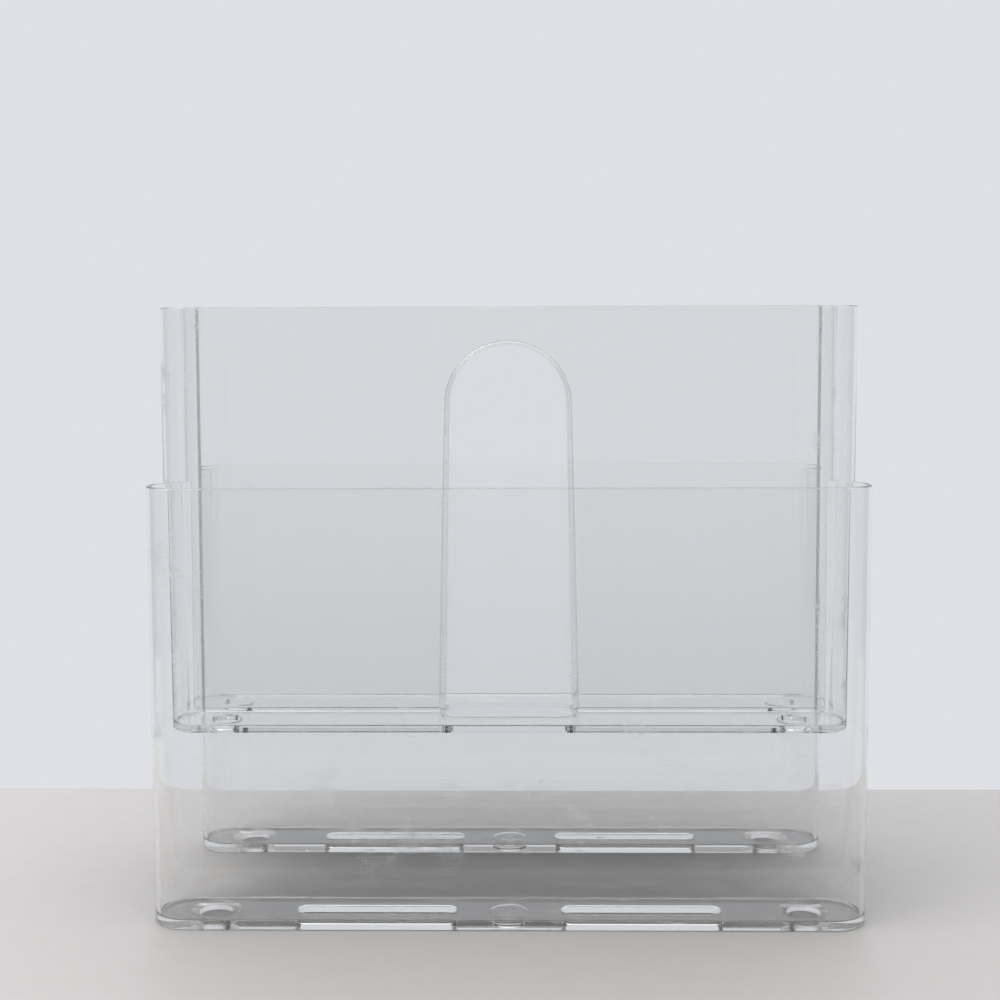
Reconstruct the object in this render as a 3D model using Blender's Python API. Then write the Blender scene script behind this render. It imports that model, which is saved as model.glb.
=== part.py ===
"""Four-pocket magazine rack: two identical clear mouldings, set back to back and cemented together.

Each moulding is one low outer pocket and one raised inner pocket that share a wall. The raised pocket's
back wall carries half of an arched hand-hold. The rear moulding is the front one turned half a turn.

Frame: metres, +Z up, X along the rack, the front faces -Y. The origin is the centre of the base.
"""

from math import cos, pi, radians, sin, tan

import bmesh
import bpy
from mathutils import Vector

# Overall sizes
LENGTH = 0.434           # outer length at the rim of an inner pocket
LOW_HEIGHT = 0.256       # base to the rim of an outer pocket
TOP_HEIGHT = 0.3625      # base to the rim of an inner pocket
RAISED_BASE = 0.1032     # base to the underside of an inner pocket

# Pocket depths, front to back, measured inside at the floor
LOW_DEPTH = 0.0380
RAISED_DEPTH = 0.0366

# Walls and floors
WALL = 0.0028            # outer walls and the ends
SHARED_WALL = 0.0029     # between the two pockets, at the low rim
BACK_WALL = 0.0026       # the two centre walls, at the top rim
LOW_FLOOR = 0.0044
RAISED_FLOOR = 0.0034
SIDE_DRAFT = radians(0.4)
END_DRAFT = radians(1.15)

# Hand-hold in the centre walls
ARCH_FOOT_WIDTH = 0.0804
ARCH_CROWN_WIDTH = 0.0746
GRIP_HEIGHT = 0.0237     # rim down to the crown of the arch
LIP_WALL = 0.0025        # lip beside the arch, at the crown
LIP_FOOT_WALL = 0.0037   # the same at the raised floor
LIP_REACH = 0.0178       # from the centre plane to the lip's front
LIP_ROUND = 0.0085
NOTCH_CORNER = 0.0085

# Openings in the floors
HOLE_DIAMETER = 0.0195
HOLE_RIM_DEPTH = 0.0011
LOW_HOLE_RIM = 0.0290        # diameter across the sloping rim of a low floor's hole
RAISED_HOLE_RIM = 0.0203
HOLE_DISTANCE = 0.0331       # hole centre to the inside of the pocket's end, at the floor
SLOT_LENGTH = 0.0945
SLOT_WIDTH = 0.0120
SLOT_MIDDLE = 0.0782     # middle of the rack to the middle of a slot

# Clearances
JOINT_GAP = 0.0003       # between the two mouldings
BEAD_GAP = 0.0003        # between a cement bead and the mouldings
BEAD_THIN = 0.0004       # bead thickness at its inner edge
BEAD_THICK = 0.0012      # bead thickness at its outer edge
BEAD_MARGIN = 0.0010     # bead end to the rim and to the underside
OVERRUN = 0.0050         # how far a cutter runs past the face that it cuts
RIM_CLEARANCE = 0.0005   # from the top of the low pocket's cutter to the raised pocket's front wall

# Facets
END_STEPS = 24           # per half circle of a pocket's end
ARCH_STEPS = 28          # per half circle of the arch
ROUND_STEPS = 5          # across a rounded edge
HOLE_STEPS = 40          # around a floor hole

RAISED_FLOOR_TOP = RAISED_BASE + RAISED_FLOOR
FRONT = -1.0             # the front moulding lies on the -Y side


def clear_scene():
    for old in list(bpy.data.objects):
        bpy.data.objects.remove(old, do_unlink=True)


def clear_acrylic(name, tint):
    material = bpy.data.materials.new(name)
    material.use_nodes = True
    shader = material.node_tree.nodes["Principled BSDF"]
    shader.inputs["Base Color"].default_value = (*tint, 1.0)
    shader.inputs["Roughness"].default_value = 0.04
    shader.inputs["Metallic"].default_value = 0.0
    shader.inputs["IOR"].default_value = 1.49
    shader.inputs["Transmission Weight"].default_value = 1.0
    return material


# ---- walls: distances from the centre plane, at a height z ------------------------------------------

def raised_back(z):
    """Inner face of the centre wall."""
    return JOINT_GAP / 2 + BACK_WALL + (TOP_HEIGHT - z) * tan(SIDE_DRAFT)


def raised_front(z):
    """Inner face of the raised pocket's front wall."""
    at_floor = raised_back(RAISED_FLOOR_TOP) + RAISED_DEPTH
    return at_floor + (z - RAISED_FLOOR_TOP) * tan(SIDE_DRAFT)


def low_back(z):
    """Low pocket's face of the shared wall."""
    return raised_front(LOW_HEIGHT) + SHARED_WALL + (LOW_HEIGHT - z) * tan(SIDE_DRAFT)


def low_front(z):
    """Inner face of the low pocket's front wall."""
    return low_back(LOW_FLOOR) + LOW_DEPTH + (z - LOW_FLOOR) * tan(SIDE_DRAFT)


def half_length(z):
    """Outer half length, the same for both pockets of a moulding."""
    return LENGTH / 2 - (TOP_HEIGHT - z) * tan(END_DRAFT)


# ---- outlines and solids ----------------------------------------------------------------------------

def stadium(half_x, near, far, z):
    """Points of a slot shape with full round ends, between two distances from the centre plane."""
    radius = (far - near) / 2
    middle = (far + near) / 2
    points = []
    for side in (1, -1):
        for step in range(END_STEPS + 1):
            angle = side * pi / 2 - pi * step / END_STEPS
            x = side * (half_x - radius) + radius * cos(angle)
            points.append(Vector((x, FRONT * (middle + radius * sin(angle)), z)))
    return points


def arch(foot_half, crown_half, foot_z, crown_z, y):
    """Points of an arch, standing across Y: straight sides that lean in, under a half circle."""
    spring_z = crown_z - crown_half
    points = [Vector((-foot_half, y, foot_z))]
    for step in range(ARCH_STEPS + 1):
        angle = pi - pi * step / ARCH_STEPS
        points.append(Vector((crown_half * cos(angle), y, spring_z + crown_half * sin(angle))))
    points.append(Vector((foot_half, y, foot_z)))
    return points


def circle(x, y, z, radius):
    turns = [2 * pi * step / HOLE_STEPS for step in range(HOLE_STEPS)]
    return [Vector((x + radius * cos(turn), y + radius * sin(turn), z)) for turn in turns]


def loft(name, loops):
    """A closed solid through outlines that have the same number of points."""
    shape = bmesh.new()
    rings = [[shape.verts.new(point) for point in loop] for loop in loops]
    for lower, upper in zip(rings, rings[1:]):
        for i in range(len(lower)):
            j = (i + 1) % len(lower)
            shape.faces.new((lower[i], lower[j], upper[j], upper[i]))
    shape.faces.new(rings[0])
    shape.faces.new(rings[-1])
    bmesh.ops.recalc_face_normals(shape, faces=shape.faces)
    mesh = bpy.data.meshes.new(name)
    shape.to_mesh(mesh)
    shape.free()
    solid = bpy.data.objects.new(name, mesh)
    bpy.context.collection.objects.link(solid)
    return solid


def combine(body, tool, operation):
    """Adds a Boolean to the body and hides its tool."""
    cut = body.modifiers.new(tool.name, "BOOLEAN")
    cut.operation = operation
    cut.solver = "EXACT"
    cut.object = tool
    tool.hide_render = True
    tool.display_type = "WIRE"


# ---- the moulding's features ------------------------------------------------------------------------

def low_shell():
    def loop(z):
        return stadium(half_length(z), low_back(z) - WALL, low_front(z) + WALL, z)
    return loft("low_shell", [loop(0.0), loop(LOW_HEIGHT)])


def raised_shell():
    """Its front wall stands flush on the shared wall, at the low rim."""
    def loop(z, wall):
        return stadium(half_length(z), JOINT_GAP / 2, raised_front(z) + wall, z)
    levels = ((RAISED_BASE, WALL), (LOW_HEIGHT, SHARED_WALL), (TOP_HEIGHT, WALL))
    return loft("raised_shell", [loop(z, wall) for z, wall in levels])


def low_cavity():
    """Above the rim it leans away from the raised pocket's front wall."""
    def loop(z, clear=0.0):
        return stadium(half_length(z) - WALL, low_back(z) + clear, low_front(z), z)
    top = loop(LOW_HEIGHT + OVERRUN, RIM_CLEARANCE)
    return loft("low_cavity", [loop(LOW_FLOOR), loop(LOW_HEIGHT), top])


def raised_cavity():
    def loop(z):
        return stadium(half_length(z) - WALL, raised_back(z), raised_front(z), z)
    return loft("raised_cavity", [loop(RAISED_FLOOR_TOP), loop(TOP_HEIGHT + OVERRUN)])


def arch_crown():
    return TOP_HEIGHT - GRIP_HEIGHT


def lip():
    """Flange around the hand-hold, with its front edge rounded over."""
    foot = ARCH_FOOT_WIDTH / 2 + LIP_FOOT_WALL
    crown = ARCH_CROWN_WIDTH / 2 + LIP_WALL
    top = arch_crown() + LIP_WALL
    loops = [arch(foot, crown, RAISED_BASE, top, FRONT * (JOINT_GAP + BACK_WALL) / 2)]
    for step in range(ROUND_STEPS + 1):
        angle = pi / 2 * step / ROUND_STEPS
        inward = LIP_ROUND * (1 - cos(angle))
        reach = LIP_REACH - LIP_ROUND * (1 - sin(angle))
        loops.append(arch(foot - inward, crown - inward, RAISED_BASE, top - inward, FRONT * reach))
    return loft("lip", loops)


def hand_hold():
    """Arched opening, above the raised floor."""
    half_foot = ARCH_FOOT_WIDTH / 2
    half_crown = ARCH_CROWN_WIDTH / 2
    ends = (-FRONT * OVERRUN, FRONT * (LIP_REACH + OVERRUN))
    loops = [arch(half_foot, half_crown, RAISED_FLOOR_TOP, arch_crown(), y) for y in ends]
    return loft("hand_hold", loops)


def floor_notch():
    """The hand-hold carried down through the raised floor, with round corners."""
    half = ARCH_FOOT_WIDTH / 2
    radius = NOTCH_CORNER
    outline = [(half, -FRONT * OVERRUN), (-half, -FRONT * OVERRUN)]
    for corner in (-1, 1):
        for step in range(ROUND_STEPS + 1):
            angle = pi / 2 * step / ROUND_STEPS
            along = cos(angle) if corner < 0 else sin(angle)
            out = sin(angle) if corner < 0 else cos(angle)
            x = corner * (half - radius + radius * along)
            outline.append((x, FRONT * (LIP_REACH - radius + radius * out)))
    loops = []
    for z in (RAISED_BASE - OVERRUN, RAISED_FLOOR_TOP + JOINT_GAP):
        loops.append([Vector((x, y, z)) for x, y in outline])
    return loft("floor_notch", loops)


def floor_holes(label, floor_top, floor, rim_diameter, middle):
    """Round holes near both ends of a floor, each with a sloping rim."""
    wall_face = half_length(floor_top) - WALL
    holes = []
    for side in (-1, 1):
        x = side * (wall_face - HOLE_DISTANCE)
        y = FRONT * middle
        rim_rise = (rim_diameter - HOLE_DIAMETER) / 2 / HOLE_RIM_DEPTH
        above = HOLE_RIM_DEPTH / 2
        loops = [
            circle(x, y, floor_top - floor - OVERRUN, HOLE_DIAMETER / 2),
            circle(x, y, floor_top - HOLE_RIM_DEPTH, HOLE_DIAMETER / 2),
            circle(x, y, floor_top + above, rim_diameter / 2 + above * rim_rise),
        ]
        holes.append(loft(f"{label}_hole_{side}", loops))
    return holes


def slots(middle):
    """Long slots in the low floor, one on each side of the middle."""
    found = []
    for side in (-1, 1):
        loops = []
        for z in (-OVERRUN, LOW_FLOOR + OVERRUN):
            half = SLOT_WIDTH / 2
            outline = stadium(SLOT_LENGTH / 2, middle - half, middle + half, z)
            loops.append([point + Vector((side * SLOT_MIDDLE, 0.0, 0.0)) for point in outline])
        found.append(loft(f"slot_{side}", loops))
    return found


# ---- the rack's pieces ------------------------------------------------------------------------------

def moulding_mesh():
    """The front moulding as one closed mesh."""
    body = low_shell()
    low_middle = (low_back(LOW_FLOOR) + low_front(LOW_FLOOR)) / 2
    raised_middle = (raised_back(RAISED_FLOOR_TOP) + raised_front(RAISED_FLOOR_TOP)) / 2
    combine(body, raised_shell(), "UNION")
    cutters = [low_cavity(), raised_cavity()]
    for cutter in cutters:
        combine(body, cutter, "DIFFERENCE")
    combine(body, lip(), "UNION")
    cutters = [hand_hold(), floor_notch(), *slots(low_middle)]
    cutters += floor_holes("low", LOW_FLOOR, LOW_FLOOR, LOW_HOLE_RIM, low_middle)
    cutters += floor_holes("raised", RAISED_FLOOR_TOP, RAISED_FLOOR, RAISED_HOLE_RIM, raised_middle)
    for cutter in cutters:
        combine(body, cutter, "DIFFERENCE")
    bpy.context.view_layer.update()
    evaluated = body.evaluated_get(bpy.context.evaluated_depsgraph_get())
    mesh = bpy.data.meshes.new_from_object(evaluated)
    mesh.name = "moulding"
    tools = [modifier.object for modifier in body.modifiers]
    for used in [body, *tools]:
        bpy.data.objects.remove(used, do_unlink=True)
    mesh.shade_smooth()
    mesh.set_sharp_from_angle(angle=radians(30))
    return mesh


def add_piece(name, mesh, turn=0.0):
    piece = bpy.data.objects.new(name, mesh)
    piece.rotation_euler = (0.0, 0.0, turn)
    bpy.context.collection.objects.link(piece)
    return piece


def groove_depth(radius, gap):
    """How far past the tangent line the groove between two round ends opens to a gap."""
    rise = (gap - JOINT_GAP) / 2
    return (radius ** 2 - (radius - rise) ** 2) ** 0.5


def bead_section(side, z):
    """Cement bead's outline in the end groove: it follows both round ends at a small gap."""
    radius = (raised_front(z) + WALL - JOINT_GAP / 2) / 2
    tangent = half_length(z) - radius
    inner = groove_depth(radius, BEAD_THIN + 2 * BEAD_GAP)
    outer = groove_depth(radius, BEAD_THICK + 2 * BEAD_GAP)
    points = []
    for face in (-1, 1):
        for step in range(ROUND_STEPS + 1):
            share = step / ROUND_STEPS if face < 0 else 1 - step / ROUND_STEPS
            along = inner + (outer - inner) * share
            half_gap = JOINT_GAP / 2 + radius - (radius ** 2 - along ** 2) ** 0.5
            points.append(Vector((side * (tangent + along), face * (half_gap - BEAD_GAP), z)))
    return points


def cement_bead(name, side, material):
    levels = (RAISED_BASE + BEAD_MARGIN, TOP_HEIGHT - BEAD_MARGIN)
    bead = loft(name, [bead_section(side, z) for z in levels])
    bead.data.materials.append(material)
    return bead


def main():
    clear_scene()
    acrylic = clear_acrylic("clear_acrylic", (0.94, 0.96, 0.955))
    cement = clear_acrylic("cured_cement", (0.86, 0.88, 0.875))
    mesh = moulding_mesh()
    mesh.materials.clear()
    mesh.materials.append(acrylic)
    add_piece("front_moulding", mesh)
    add_piece("rear_moulding", mesh, pi)
    cement_bead("left_cement_bead", -1, cement)
    cement_bead("right_cement_bead", 1, cement)


main()
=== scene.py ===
"""Looks of the clear four-pocket magazine rack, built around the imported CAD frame.

Both mouldings are rebuilt as fine meshes with the small shapes that the CAD solids leave out: rounded
rims, floor fillets, the fillet around the hand-hold lip, eased slot and hole edges, and the gate mark under
each low floor. The cement beads are the CAD's own nodes. Sizes repeat the part's, in metres. +Z is up, and
the front faces -Y.
"""

from math import cos, pi, radians, sin, tan

import bmesh
import bpy
from mathutils import Matrix, Vector


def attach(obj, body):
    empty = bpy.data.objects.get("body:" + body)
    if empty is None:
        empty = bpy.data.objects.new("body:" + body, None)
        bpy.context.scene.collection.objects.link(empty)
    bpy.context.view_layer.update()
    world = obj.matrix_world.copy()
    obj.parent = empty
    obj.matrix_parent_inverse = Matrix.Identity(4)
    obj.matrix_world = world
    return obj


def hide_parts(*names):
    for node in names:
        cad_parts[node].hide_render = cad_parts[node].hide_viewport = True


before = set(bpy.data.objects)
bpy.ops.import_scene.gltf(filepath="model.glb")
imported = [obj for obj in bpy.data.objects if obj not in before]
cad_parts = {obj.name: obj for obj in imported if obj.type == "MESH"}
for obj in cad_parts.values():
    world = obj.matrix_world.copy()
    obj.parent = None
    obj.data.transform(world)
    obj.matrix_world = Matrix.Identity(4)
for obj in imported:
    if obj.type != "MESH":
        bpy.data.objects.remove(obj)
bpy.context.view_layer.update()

# Overall sizes
LENGTH = 0.434           # outer length at the rim of an inner pocket
LOW_HEIGHT = 0.256       # base to the rim of an outer pocket
TOP_HEIGHT = 0.3625      # base to the rim of an inner pocket
RAISED_BASE = 0.1032     # base to the underside of an inner pocket

# Pocket depths, inside at the floor, and walls and floors
LOW_DEPTH = 0.0380
RAISED_DEPTH = 0.0366
WALL = 0.0028            # outer walls and the ends
SHARED_WALL = 0.0029     # between the two pockets, at the low rim
BACK_WALL = 0.0026       # each centre wall, at the top rim
LOW_FLOOR = 0.0044
RAISED_FLOOR = 0.0034
SIDE_DRAFT = radians(0.4)
END_DRAFT = radians(1.15)
JOINT_GAP = 0.0003       # between the two mouldings

# Hand-hold in the centre walls
ARCH_FOOT_WIDTH = 0.0804
ARCH_CROWN_WIDTH = 0.0746
GRIP_HEIGHT = 0.0237     # rim down to the crown of the arch
LIP_WALL = 0.0025        # the lip's thickness at the crown
LIP_FOOT_WALL = 0.0037   # and at its feet
LIP_REACH = 0.0178       # from the centre plane to the lip's front
LIP_ROUND = 0.0085
NOTCH_CORNER = 0.0085

# Openings in the floors
HOLE_DIAMETER = 0.0195
HOLE_RIM_DEPTH = 0.0011
LOW_HOLE_RIM = 0.0290    # diameter across the sloping rim of a low floor's hole
RAISED_HOLE_RIM = 0.0203
HOLE_DISTANCE = 0.0331   # hole centre to the inside of the pocket's end, at the floor
SLOT_LENGTH = 0.0945
SLOT_WIDTH = 0.0120
SLOT_MIDDLE = 0.0782     # middle of the rack to the middle of a slot

# Small shapes that only the looks have
RIM_ROUND = 0.0011       # both edges of every rim
BASE_ROUND = 0.0007      # outer edge under each floor
FLOOR_FILLET = 0.0016    # inside, between the floor and the walls
LIP_FILLET = 0.0010      # between the lip and the centre wall
SLOT_ROUND = 0.0005      # edges of slots, and of holes from below
GATE_DIAMETER = 0.0230   # round recess under the low floor
GATE_DEPTH = 0.0010
GATE_STUB_DIAMETER = 0.0105
GATE_STUB_REACH = 0.0003  # stub end to the underside
OVERRUN = 0.0050         # how far a cutter runs past the face that it cuts
RIM_CLEARANCE = 0.0005   # from the low cutter's top to the raised pocket's front wall

# Facets
END_STEPS = 64           # per half circle of a pocket's or slot's end
ARCH_STEPS = 96          # per half circle of the arch
HOLE_STEPS = 96          # around a floor hole
CORNER_STEPS = 12        # around a corner of the floor notch
LIP_STEPS = 8            # across the lip's fillet, and across its front edge
ROUND_STEPS = 5          # across any other rounded edge
SHARP_ANGLE = radians(30)  # faces that meet at more than this are not smoothed together

RAISED_FLOOR_TOP = RAISED_BASE + RAISED_FLOOR
FRONT = -1.0             # the front moulding lies on the -Y side

# Acrylic
ACRYLIC_TONE = (0.998, 0.999, 0.998, 1.0)
ACRYLIC_IOR = 1.49
ACRYLIC_DEPTH_TONE = (0.40, 0.46, 0.44, 1.0)
ACRYLIC_DEPTH_DENSITY = 5.0
SCRATCH_SETS = (         # turn about Y in degrees, length, width, and noise level that a patch starts at
    (0, 0.055, 0.0016, 0.60),
    (-32, 0.040, 0.0014, 0.66),
    (58, 0.034, 0.0013, 0.68),
    (83, 0.060, 0.0018, 0.66),
)
SCRATCH_WIDTH = 0.006    # as a part of the noise that draws the lines
SCRATCH_ROUGHNESS = 0.35
WEAR_TOP = 0.30          # height above which scratches are faintest
WEAR_AT_TOP = 0.25       # and what is left of them there
HAZE_ROUGHNESS = 0.03
HOLE_RIM_ROUGHNESS = 0.42
HOLE_RIM_BLUR = 0.0002   # width of the change at the edges of a hole's rim
BUMP_DISTANCE = 0.0002

# Cement
CEMENT_CLEAR_TONE = (0.60, 0.62, 0.61, 1.0)
CEMENT_CLOUD_TONE = (0.97, 0.97, 0.97, 1.0)
CEMENT_IOR = 1.47
CEMENT_TRANSMISSION = 0.92
CLOUD_START = 0.325      # height where the cloudy spots start
CLOUD_FULL = 0.355       # height where they are thickest

# Plinth
PLINTH_TONE = (0.56, 0.545, 0.53, 1.0)
PLINTH_HALF_DEPTH = 0.186
PLINTH_HALF_LENGTH = 0.90
PLINTH_HEIGHT = 0.60
PLINTH_ROUND = 0.002
PLINTH_DROP = 0.0004     # plinth top to the rack's base

# Room and key light
ROOM_LOW = (0.24, 0.24, 0.25, 1.0)       # before the rack, low down
ROOM_HIGH = (0.53, 0.53, 0.55, 1.0)      # before the rack, level and above
SIDE_TONE = (0.25, 0.25, 0.26, 1.0)      # to the left and right
WALL_TONE = (0.735, 0.75, 0.79, 1.0)     # the pale wall beyond the rack
CEILING_TONE = (1.35, 1.35, 1.37, 1.0)   # overhead
LOW_TO_HIGH = (-0.34, -0.08)             # upward part of a direction, where one tone turns into the next
ROOM_TO_SIDE = (-0.75, -0.25)            # the same for the part along +Y
SIDE_TO_WALL = (0.15, 0.75)
WALL_TO_CEILING = (0.35, 0.8)            # and again for the upward part
KEY_PLACE = (-0.8, -0.5, 1.25)
KEY_SIZE = 0.9
KEY_POWER = 6.0

# Camera: at the height of the grip, looking level, with the frame shifted down onto the rack
CAMERA_SIDE = 0.004
CAMERA_DISTANCE = 0.920
CAMERA_HEIGHT = 0.334
CAMERA_YAW = radians(0.83)
CAMERA_ROLL = radians(-0.18)
SENSOR_WIDTH = 36.0
LENS = 51.84
SHIFT_X = 0.0068
SHIFT_Y = -0.147

# Bounces of light: enough to pass through every wall of both mouldings
CLEAR_BOUNCES = 40
GLOSSY_BOUNCES = 16


# ---- walls: distances from the centre plane, at a height z ------------------------------------------

def raised_back(z):
    """Inner face of the centre wall."""
    return JOINT_GAP / 2 + BACK_WALL + (TOP_HEIGHT - z) * tan(SIDE_DRAFT)


def raised_front(z):
    """Inner face of the raised pocket's front wall."""
    at_floor = raised_back(RAISED_FLOOR_TOP) + RAISED_DEPTH
    return at_floor + (z - RAISED_FLOOR_TOP) * tan(SIDE_DRAFT)


def low_back(z):
    """Low pocket's face of the shared wall."""
    return raised_front(LOW_HEIGHT) + SHARED_WALL + (LOW_HEIGHT - z) * tan(SIDE_DRAFT)


def low_front(z):
    """Inner face of the low pocket's front wall."""
    return low_back(LOW_FLOOR) + LOW_DEPTH + (z - LOW_FLOOR) * tan(SIDE_DRAFT)


def half_length(z):
    """Outer half length, the same for both pockets of a moulding."""
    return LENGTH / 2 - (TOP_HEIGHT - z) * tan(END_DRAFT)


# ---- outlines and solids ----------------------------------------------------------------------------

def quarter(steps=ROUND_STEPS):
    """Angles across a quarter turn."""
    return [pi / 2 * step / steps for step in range(steps + 1)]


def rising_levels(bottom, radius):
    """Heights and insets of a rounded edge at the bottom of a solid."""
    return [(bottom + radius * (1 - cos(a)), radius * (1 - sin(a))) for a in quarter()]


def closing_levels(top, radius):
    """Heights and insets of a rounded edge at the top of a solid."""
    return [(top - radius * (1 - sin(a)), radius * (1 - cos(a))) for a in quarter()]


def flaring_levels(top, radius):
    """Heights and insets of a cutter that eases the edge it comes out of."""
    levels = [(z, -inset) for z, inset in closing_levels(top, radius)]
    return levels + [(top + OVERRUN, -radius)]


def entering_levels(bottom, radius):
    """The same as flaring_levels, at the lower end of a cutter."""
    levels = [(z, -inset) for z, inset in rising_levels(bottom, radius)]
    return [(bottom - OVERRUN, -radius)] + levels


def stadium(half_x, near, far, z):
    """Points of a slot shape with full round ends, between two distances from the centre plane."""
    radius = (far - near) / 2
    middle = (far + near) / 2
    points = []
    for side in (1, -1):
        for step in range(END_STEPS + 1):
            angle = side * pi / 2 - pi * step / END_STEPS
            x = side * (half_x - radius) + radius * cos(angle)
            points.append(Vector((x, FRONT * (middle + radius * sin(angle)), z)))
    return points


def arch(foot_half, crown_half, foot_z, crown_z, depth):
    """Points of an arch with straight legs that lean in; depth gives the distance forward at a height."""
    spring_z = crown_z - crown_half
    outline = [(-foot_half, foot_z)]
    for step in range(ARCH_STEPS + 1):
        angle = pi - pi * step / ARCH_STEPS
        outline.append((crown_half * cos(angle), spring_z + crown_half * sin(angle)))
    outline.append((foot_half, foot_z))
    return [Vector((x, FRONT * depth(z), z)) for x, z in outline]


def circle(x, y, z, radius):
    """Points of a level circle."""
    turns = [2 * pi * step / HOLE_STEPS for step in range(HOLE_STEPS)]
    return [Vector((x + radius * cos(turn), y + radius * sin(turn), z)) for turn in turns]


def loft(name, loops):
    """A closed solid through outlines that have the same number of points."""
    shape = bmesh.new()
    rings = [[shape.verts.new(point) for point in loop] for loop in loops]
    for lower, upper in zip(rings, rings[1:]):
        for i in range(len(lower)):
            j = (i + 1) % len(lower)
            shape.faces.new((lower[i], lower[j], upper[j], upper[i]))
    shape.faces.new(rings[0])
    shape.faces.new(rings[-1])
    bmesh.ops.recalc_face_normals(shape, faces=shape.faces)
    mesh = bpy.data.meshes.new(name)
    shape.to_mesh(mesh)
    shape.free()
    solid = bpy.data.objects.new(name, mesh)
    bpy.context.scene.collection.objects.link(solid)
    return solid


def combine(body, tool, operation):
    """Adds a Boolean to the body."""
    cut = body.modifiers.new(tool.name, "BOOLEAN")
    cut.operation = operation
    cut.solver = "EXACT"
    cut.object = tool


# ---- the moulding's features ------------------------------------------------------------------------

def low_outline(z, wall, inset, near_inset):
    """Low pocket's outline, a wall out from the cavity and inset from there."""
    half = half_length(z) - WALL + wall - inset
    return stadium(half, low_back(z) - wall + near_inset, low_front(z) + wall - inset, z)


def low_shell():
    levels = rising_levels(0.0, BASE_ROUND) + closing_levels(LOW_HEIGHT, RIM_ROUND)
    return loft("low_shell", [low_outline(z, WALL, inset, inset) for z, inset in levels])


def low_cavity():
    """It flares at the rim except on the shared wall, which goes on up."""
    levels = rising_levels(LOW_FLOOR, FLOOR_FILLET) + flaring_levels(LOW_HEIGHT, RIM_ROUND)
    loops = []
    for z, inset in levels:
        near_inset = RIM_CLEARANCE if z > LOW_HEIGHT else max(inset, 0.0)
        loops.append(low_outline(z, 0.0, inset, near_inset))
    return loft("low_cavity", loops)


def raised_shell():
    """Its front wall stands flush on the shared wall, at the low rim."""
    loops = []
    for z, inset in rising_levels(RAISED_BASE, BASE_ROUND):
        near = JOINT_GAP / 2 + inset
        loops.append(stadium(half_length(z) - inset, near, raised_front(z) + WALL, z))
    near = JOINT_GAP / 2
    far = raised_front(LOW_HEIGHT) + SHARED_WALL
    loops.append(stadium(half_length(LOW_HEIGHT), near, far, LOW_HEIGHT))
    for z, inset in closing_levels(TOP_HEIGHT, RIM_ROUND):
        half = half_length(z) - inset
        loops.append(stadium(half, near + inset, raised_front(z) + WALL - inset, z))
    return loft("raised_shell", loops)


def raised_cavity():
    levels = rising_levels(RAISED_FLOOR_TOP, FLOOR_FILLET) + flaring_levels(TOP_HEIGHT, RIM_ROUND)
    loops = []
    for z, inset in levels:
        half = half_length(z) - WALL - inset
        loops.append(stadium(half, raised_back(z) + inset, raised_front(z) - inset, z))
    return loft("raised_cavity", loops)


def arch_crown():
    """Height of the crown of the hand-hold."""
    return TOP_HEIGHT - GRIP_HEIGHT


def at_depth(depth):
    """A depth for arch() that is the same at every height."""
    return lambda z: depth


def off_centre_wall(height):
    """A depth for arch() at a height above the centre wall's inner face."""
    return lambda z: raised_back(z) + height


def lip():
    """Flange around the hand-hold: a fillet out of the centre wall, then a rounded front edge."""
    foot = ARCH_FOOT_WIDTH / 2 + LIP_FOOT_WALL
    crown = ARCH_CROWN_WIDTH / 2 + LIP_WALL
    top = arch_crown() + LIP_WALL

    def loop(outward, depth):
        return arch(foot + outward, crown + outward, RAISED_BASE, top + outward, depth)

    loops = [loop(LIP_FILLET, at_depth((JOINT_GAP + BACK_WALL) / 2))]
    for angle in quarter(LIP_STEPS):
        outward = LIP_FILLET * (1 - sin(angle))
        loops.append(loop(outward, off_centre_wall(LIP_FILLET * (1 - cos(angle)))))
    for angle in quarter(LIP_STEPS):
        inward = LIP_ROUND * (1 - cos(angle))
        reach = LIP_REACH - LIP_ROUND * (1 - sin(angle))
        loops.append(loop(-inward, at_depth(reach)))
    return loft("lip", loops)


def hand_hold():
    """Arched opening, above the raised floor."""
    half_foot = ARCH_FOOT_WIDTH / 2
    half_crown = ARCH_CROWN_WIDTH / 2
    loops = []
    for depth in (-OVERRUN, LIP_REACH + OVERRUN):
        loops.append(arch(half_foot, half_crown, RAISED_FLOOR_TOP, arch_crown(), at_depth(depth)))
    return loft("hand_hold", loops)


def floor_notch():
    """The hand-hold carried down through the raised floor, with round corners."""
    half = ARCH_FOOT_WIDTH / 2
    radius = NOTCH_CORNER
    outline = [(half, -FRONT * OVERRUN), (-half, -FRONT * OVERRUN)]
    for corner in (-1, 1):
        for angle in quarter(CORNER_STEPS):
            along = cos(angle) if corner < 0 else sin(angle)
            out = sin(angle) if corner < 0 else cos(angle)
            x = corner * (half - radius + radius * along)
            outline.append((x, FRONT * (LIP_REACH - radius + radius * out)))
    loops = []
    for z in (RAISED_BASE - OVERRUN, RAISED_FLOOR_TOP + JOINT_GAP):
        loops.append([Vector((x, y, z)) for x, y in outline])
    return loft("floor_notch", loops)


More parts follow.
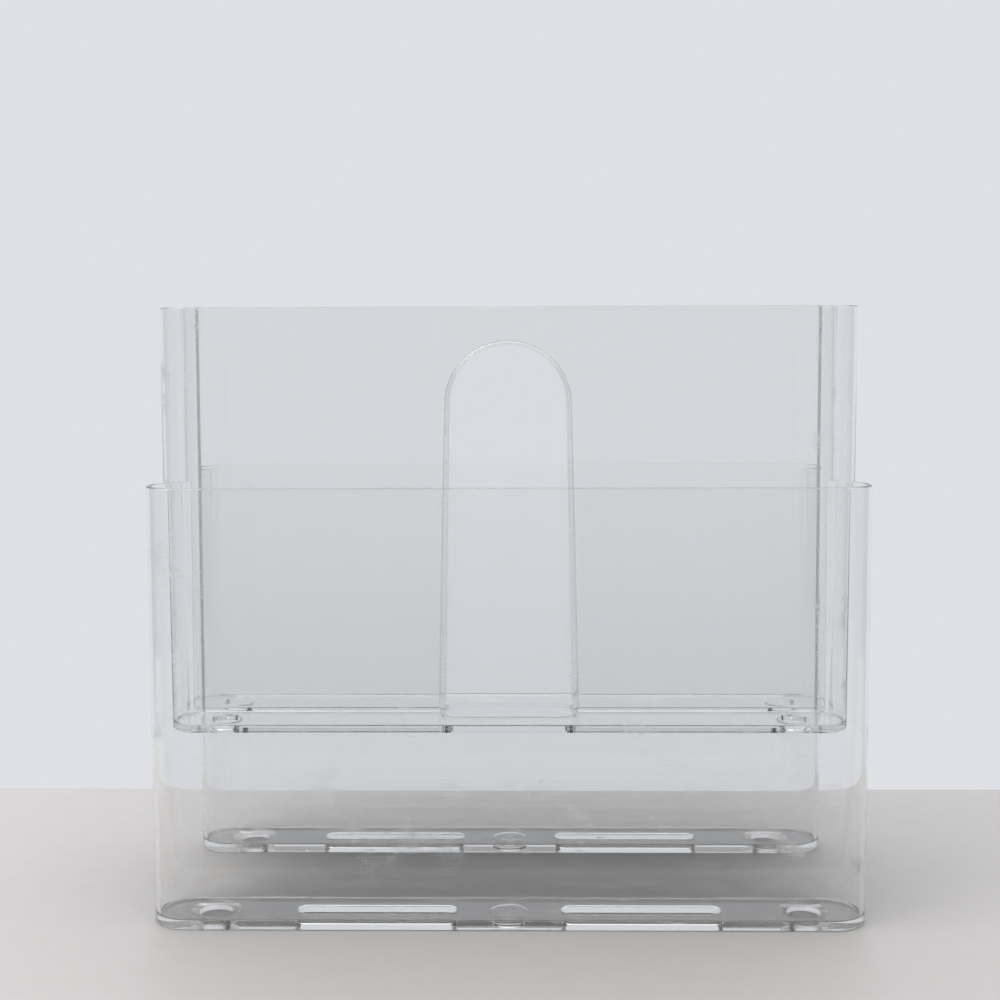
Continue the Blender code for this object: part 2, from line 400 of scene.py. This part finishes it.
def floor_holes(label, floor_top, floor, rim_diameter, middle):
    """Round holes near both ends of a floor, each with a sloping rim and an eased lower edge."""
    wall_face = half_length(floor_top) - WALL
    radius = HOLE_DIAMETER / 2
    rim_radius = rim_diameter / 2
    rim_rise = (rim_radius - radius) / HOLE_RIM_DEPTH
    above = HOLE_RIM_DEPTH / 2
    profile = [(z, radius - inset) for z, inset in entering_levels(floor_top - floor, SLOT_ROUND)]
    profile.append((floor_top - HOLE_RIM_DEPTH, radius))
    profile.append((floor_top + above, rim_radius + above * rim_rise))
    holes = []
    for side in (-1, 1):
        x = side * (wall_face - HOLE_DISTANCE)
        loops = [circle(x, FRONT * middle, z, reach) for z, reach in profile]
        holes.append(loft(f"{label}_hole_{side}", loops))
    return holes


def slots(middle):
    """Long slots in the low floor, one on each side of the middle, with eased edges."""
    levels = entering_levels(0.0, SLOT_ROUND) + flaring_levels(LOW_FLOOR, SLOT_ROUND)
    found = []
    for side in (-1, 1):
        loops = []
        for z, inset in levels:
            half = SLOT_WIDTH / 2 - inset
            outline = stadium(SLOT_LENGTH / 2 - inset, middle - half, middle + half, z)
            loops.append([point + Vector((side * SLOT_MIDDLE, 0.0, 0.0)) for point in outline])
        found.append(loft(f"slot_{side}", loops))
    return found


def gate_recess(middle):
    """Round recess under the low floor, where the moulding was cut from its runner."""
    y = FRONT * middle
    radius = GATE_DIAMETER / 2
    loops = [circle(0.0, y, -OVERRUN, radius)]
    loops += [circle(0.0, y, z, radius - inset) for z, inset in closing_levels(GATE_DEPTH, GATE_DEPTH / 2)]
    return loft("gate_recess", loops)


def gate_stub(middle):
    """What is left of the runner, in the middle of the recess."""
    radius = GATE_STUB_DIAMETER / 2
    levels = rising_levels(GATE_STUB_REACH, GATE_STUB_REACH) + [(GATE_DEPTH + GATE_STUB_REACH, 0.0)]
    return loft("gate_stub", [circle(0.0, FRONT * middle, z, radius - inset) for z, inset in levels])


def moulding_mesh():
    """The front moulding as one closed mesh."""
    low_middle = (low_back(LOW_FLOOR) + low_front(LOW_FLOOR)) / 2
    raised_middle = (raised_back(RAISED_FLOOR_TOP) + raised_front(RAISED_FLOOR_TOP)) / 2
    body = low_shell()
    combine(body, raised_shell(), "UNION")
    combine(body, low_cavity(), "DIFFERENCE")
    combine(body, raised_cavity(), "DIFFERENCE")
    combine(body, lip(), "UNION")
    cutters = [hand_hold(), floor_notch(), *slots(low_middle), gate_recess(low_middle)]
    cutters += floor_holes("low", LOW_FLOOR, LOW_FLOOR, LOW_HOLE_RIM, low_middle)
    cutters += floor_holes("raised", RAISED_FLOOR_TOP, RAISED_FLOOR, RAISED_HOLE_RIM, raised_middle)
    for cutter in cutters:
        combine(body, cutter, "DIFFERENCE")
    combine(body, gate_stub(low_middle), "UNION")
    bpy.context.view_layer.update()
    mesh = evaluated_mesh(body)
    tools = [modifier.object for modifier in body.modifiers]
    for used in [body, *tools]:
        bpy.data.objects.remove(used, do_unlink=True)
    mesh.shade_smooth()
    mesh.set_sharp_from_angle(angle=SHARP_ANGLE)
    return mesh


def evaluated_mesh(source):
    """The mesh with its Booleans applied."""
    evaluated = source.evaluated_get(bpy.context.evaluated_depsgraph_get())
    return bpy.data.meshes.new_from_object(evaluated)


def add_moulding(name, mesh, turn, node, material):
    """A copy of the moulding, turned about Z, in place of a CAD node."""
    piece = bpy.data.objects.new(name, mesh.copy())
    bpy.context.scene.collection.objects.link(piece)
    piece.data.transform(Matrix.Rotation(turn, 4, "Z"))
    piece.data.materials.clear()
    piece.data.materials.append(material)
    flat = piece.modifiers.new("flat walls", "WEIGHTED_NORMAL")
    flat.mode = "FACE_AREA"
    flat.keep_sharp = True
    flat.weight = 100    # large faces decide the normals
    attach(piece, "root")
    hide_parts(node)


# ---- materials --------------------------------------------------------------------------------------

class Nodes:
    """Short calls for building a node tree."""

    def __init__(self, tree):
        self.tree = tree

    def add(self, kind, **settings):
        node = self.tree.nodes.new(kind)
        for key, value in settings.items():
            setattr(node, key, value)
        return node

    def link(self, source, target):
        self.tree.links.new(source, target)

    def math(self, operation, first, second=0.0):
        """A Math node's result, from values or sockets."""
        node = self.add("ShaderNodeMath", operation=operation)
        for socket, value in zip(node.inputs, (first, second)):
            if isinstance(value, (int, float)):
                socket.default_value = value
            else:
                self.link(value, socket)
        return node.outputs[0]

    def span(self, value, low, high, out_low=0.0, out_high=1.0):
        """Maps low..high to out_low..out_high, smoothly and clamped."""
        node = self.add("ShaderNodeMapRange", interpolation_type="SMOOTHSTEP")
        self.link(value, node.inputs["Value"])
        node.inputs["From Min"].default_value = low
        node.inputs["From Max"].default_value = high
        node.inputs["To Min"].default_value = out_low
        node.inputs["To Max"].default_value = out_high
        return node.outputs["Result"]

    def blend(self, share, first, second):
        """Mixes two colours, each a value or a socket."""
        node = self.add("ShaderNodeMix", data_type="RGBA")
        self.link(share, node.inputs["Factor"])
        for key, colour in (("A", first), ("B", second)):
            if isinstance(colour, tuple):
                node.inputs[key].default_value = colour
            else:
                self.link(colour, node.inputs[key])
        return node.outputs["Result"]

    def mapped(self, source, turn, scale):
        """Coordinates turned, and stretched by a scale."""
        node = self.add("ShaderNodeMapping", vector_type="TEXTURE")
        node.inputs["Rotation"].default_value = turn
        node.inputs["Scale"].default_value = scale
        self.link(source, node.inputs["Vector"])
        return node.outputs["Vector"]

    def noise(self, vector, scale, detail=2.0, roughness=0.5):
        node = self.add("ShaderNodeTexNoise")
        self.link(vector, node.inputs["Vector"])
        node.inputs["Scale"].default_value = scale
        node.inputs["Detail"].default_value = detail
        node.inputs["Roughness"].default_value = roughness
        return node.outputs["Fac"]

    def bump(self, height, strength, invert=False):
        """A normal that follows a height."""
        node = self.add("ShaderNodeBump", invert=invert)
        node.inputs["Strength"].default_value = strength
        node.inputs["Distance"].default_value = BUMP_DISTANCE
        self.link(height, node.inputs["Height"])
        return node.outputs["Normal"]

    def height(self, place):
        node = self.add("ShaderNodeSeparateXYZ")
        self.link(place, node.inputs[0])
        return node.outputs["Z"]


def new_material(name):
    """A material with its node helper, its shader and its object coordinates."""
    material = bpy.data.materials.new(name)
    material.use_nodes = True
    nodes = Nodes(material.node_tree)
    shader = material.node_tree.nodes["Principled BSDF"]
    place = nodes.add("ShaderNodeTexCoord").outputs["Object"]
    return material, nodes, shader, place


def scratches(nodes, place, turn, length, width, share):
    """Thin broken lines that run along one direction."""
    lined = nodes.mapped(place, (0.0, radians(turn), 0.0), (length, width, width))
    wave = nodes.noise(lined, scale=1.0, detail=1.0)
    lines = nodes.math("ABSOLUTE", nodes.math("SUBTRACT", wave, 0.5))
    thin = nodes.span(lines, 0.0, SCRATCH_WIDTH, 1.0, 0.0)
    patches = nodes.span(nodes.noise(place, scale=38.0 + 900.0 * width), share, share + 0.05)
    return nodes.math("MULTIPLY", thin, patches)


def all_scratches(nodes, place):
    """Scratches in several directions, thickest low down."""
    marks = None
    for scratch_set in SCRATCH_SETS:
        found = scratches(nodes, place, *scratch_set)
        marks = found if marks is None else nodes.math("MAXIMUM", marks, found)
    wear = nodes.span(nodes.height(place), 0.0, WEAR_TOP, 1.0, WEAR_AT_TOP)
    return nodes.math("MULTIPLY", marks, wear)


def hole_rims(nodes, place):
    """The sloping rims of the low floors' holes, which are left as moulded and not polished."""
    middle = (low_back(LOW_FLOOR) + low_front(LOW_FLOOR)) / 2
    centre = (half_length(LOW_FLOOR) - WALL - HOLE_DISTANCE, middle, LOW_FLOOR)
    folded = nodes.add("ShaderNodeVectorMath", operation="ABSOLUTE")
    nodes.link(place, folded.inputs[0])
    reach = nodes.add("ShaderNodeVectorMath", operation="DISTANCE")
    nodes.link(folded.outputs["Vector"], reach.inputs[0])
    reach.inputs[1].default_value = centre
    distance = reach.outputs["Value"]
    inner = HOLE_DIAMETER / 2
    outer = LOW_HOLE_RIM / 2
    inside = nodes.span(distance, outer, outer + HOLE_RIM_BLUR, 1.0, 0.0)
    outside = nodes.span(distance, inner - HOLE_RIM_BLUR, inner + HOLE_RIM_BLUR)
    return nodes.math("MULTIPLY", inside, outside)


def clear_acrylic():
    """Clear moulded acrylic with hairline scratches and a trace of haze, darker along long paths."""
    material, nodes, shader, place = new_material("clear_acrylic_worn")
    shader.inputs["Base Color"].default_value = ACRYLIC_TONE
    shader.inputs["IOR"].default_value = ACRYLIC_IOR
    shader.inputs["Transmission Weight"].default_value = 1.0
    marks = all_scratches(nodes, place)
    cloudy = nodes.noise(place, scale=9.0, detail=4.0, roughness=0.6)
    haze = nodes.span(cloudy, 0.55, 0.80, 0.0, HAZE_ROUGHNESS)
    rough = nodes.math("ADD", nodes.math("MULTIPLY", marks, SCRATCH_ROUGHNESS), haze)
    rims = nodes.math("MULTIPLY", hole_rims(nodes, place), HOLE_RIM_ROUGHNESS)
    nodes.link(nodes.math("ADD", rough, rims), shader.inputs["Roughness"])
    nodes.link(nodes.bump(marks, strength=0.25, invert=True), shader.inputs["Normal"])
    body = nodes.add("ShaderNodeVolumeAbsorption")
    body.inputs["Color"].default_value = ACRYLIC_DEPTH_TONE
    body.inputs["Density"].default_value = ACRYLIC_DEPTH_DENSITY
    nodes.link(body.outputs["Volume"], material.node_tree.nodes["Material Output"].inputs["Volume"])
    return material


def cured_cement():
    """Solvent cement in the end grooves: grey and clear, with cloudy bubbly spots near the top."""
    material, nodes, shader, place = new_material("cured_cement_cloudy")
    shader.inputs["IOR"].default_value = CEMENT_IOR
    shader.inputs["Transmission Weight"].default_value = CEMENT_TRANSMISSION
    upper = nodes.span(nodes.height(place), CLOUD_START, CLOUD_FULL)
    spots = nodes.span(nodes.noise(place, scale=160.0, detail=5.0, roughness=0.7), 0.42, 0.62)
    upright = nodes.mapped(place, (0.0, 0.0, 0.0), (0.002, 0.002, 0.03))
    streaks = nodes.span(nodes.noise(upright, scale=1.0, detail=3.0), 0.58, 0.75)
    bubbles = nodes.math("MULTIPLY", upper, spots)
    cloud = nodes.math("MAXIMUM", bubbles, nodes.math("MULTIPLY", streaks, 0.35))
    nodes.link(nodes.blend(cloud, CEMENT_CLEAR_TONE, CEMENT_CLOUD_TONE), shader.inputs["Base Color"])
    nodes.link(nodes.span(cloud, 0.0, 1.0, 0.02, 0.75), shader.inputs["Roughness"])
    grain = nodes.noise(place, scale=420.0, detail=3.0)
    nodes.link(nodes.bump(grain, strength=0.5), shader.inputs["Normal"])
    return material


def stage_paint():
    """Matt pale paint for the plinth."""
    material, nodes, shader, place = new_material("plinth_paint")
    shader.inputs["Base Color"].default_value = PLINTH_TONE
    mottle = nodes.span(nodes.noise(place, scale=60.0, detail=4.0), 0.3, 0.7, 0.42, 0.52)
    nodes.link(mottle, shader.inputs["Roughness"])
    return material


# ---- stage, light and camera ------------------------------------------------------------------------

def add_plinth():
    """A long pale plinth under the rack."""
    size = (2 * PLINTH_HALF_LENGTH, 2 * PLINTH_HALF_DEPTH, PLINTH_HEIGHT)
    middle = (0.0, 0.0, -PLINTH_HEIGHT / 2 - PLINTH_DROP)
    shape = bmesh.new()
    bmesh.ops.create_cube(shape, size=1.0)
    bmesh.ops.scale(shape, vec=size, verts=shape.verts)
    bmesh.ops.translate(shape, vec=middle, verts=shape.verts)
    edges = shape.edges[:]
    bmesh.ops.bevel(shape, geom=edges, offset=PLINTH_ROUND, segments=3, affect="EDGES", profile=0.5)
    mesh = bpy.data.meshes.new("plinth")
    shape.to_mesh(mesh)
    shape.free()
    mesh.materials.append(stage_paint())
    plinth = bpy.data.objects.new("plinth", mesh)
    bpy.context.scene.collection.objects.link(plinth)


def studio_world():
    """Pale wall beyond the rack, a dimmer room before and beside it, and a bright soft ceiling."""
    world = bpy.data.worlds.new("studio")
    world.use_nodes = True
    bpy.context.scene.world = world
    nodes = Nodes(world.node_tree)
    direction = nodes.add("ShaderNodeSeparateXYZ")
    nodes.link(nodes.add("ShaderNodeTexCoord").outputs["Generated"], direction.inputs[0])
    along = direction.outputs["Y"]
    up = direction.outputs["Z"]
    room = nodes.blend(nodes.span(up, *LOW_TO_HIGH), ROOM_LOW, ROOM_HIGH)
    near = nodes.blend(nodes.span(along, *ROOM_TO_SIDE), room, SIDE_TONE)
    around = nodes.blend(nodes.span(along, *SIDE_TO_WALL), near, WALL_TONE)
    full = nodes.blend(nodes.span(up, *WALL_TO_CEILING), around, CEILING_TONE)
    nodes.link(full, world.node_tree.nodes["Background"].inputs["Color"])


def add_key_light():
    """A large soft lamp, up on the left before the rack."""
    lamp = bpy.data.lights.new("soft_key", "AREA")
    lamp.energy = KEY_POWER
    lamp.size = KEY_SIZE
    key = bpy.data.objects.new("soft_key", lamp)
    bpy.context.scene.collection.objects.link(key)
    spot = Vector(KEY_PLACE)
    aim = Vector((0.0, 0.0, TOP_HEIGHT / 2)) - spot
    key.matrix_world = Matrix.Translation(spot) @ aim.to_track_quat("-Z", "Y").to_matrix().to_4x4()


def add_camera():
    """The photo's camera."""
    lens = bpy.data.cameras.new("camera")
    lens.lens = LENS
    lens.sensor_width = SENSOR_WIDTH
    lens.shift_x = SHIFT_X
    lens.shift_y = SHIFT_Y
    camera = bpy.data.objects.new("camera", lens)
    bpy.context.scene.collection.objects.link(camera)
    stand = Matrix.Translation((CAMERA_SIDE, -CAMERA_DISTANCE, CAMERA_HEIGHT))
    level = Matrix.Rotation(pi / 2, 4, "X") @ Matrix.Rotation(CAMERA_ROLL, 4, "Z")
    camera.matrix_world = stand @ Matrix.Rotation(CAMERA_YAW, 4, "Z") @ level
    bpy.context.scene.camera = camera


def set_light_paths():
    """Bounces of light, and the plain view transform."""
    cycles = bpy.context.scene.cycles
    cycles.max_bounces = CLEAR_BOUNCES
    cycles.transmission_bounces = CLEAR_BOUNCES
    cycles.glossy_bounces = GLOSSY_BOUNCES
    bpy.context.scene.view_settings.view_transform = "Standard"


def main():
    acrylic = clear_acrylic()
    mesh = moulding_mesh()
    add_moulding("front_moulding_clear", mesh, 0.0, "front_moulding", acrylic)
    add_moulding("rear_moulding_clear", mesh, pi, "rear_moulding", acrylic)
    cement = cured_cement()
    for node in ("left_cement_bead", "right_cement_bead"):
        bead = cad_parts[node]
        bead.data.materials.clear()
        bead.data.materials.append(cement)
    add_plinth()
    studio_world()
    add_key_light()
    add_camera()
    set_light_paths()


main()
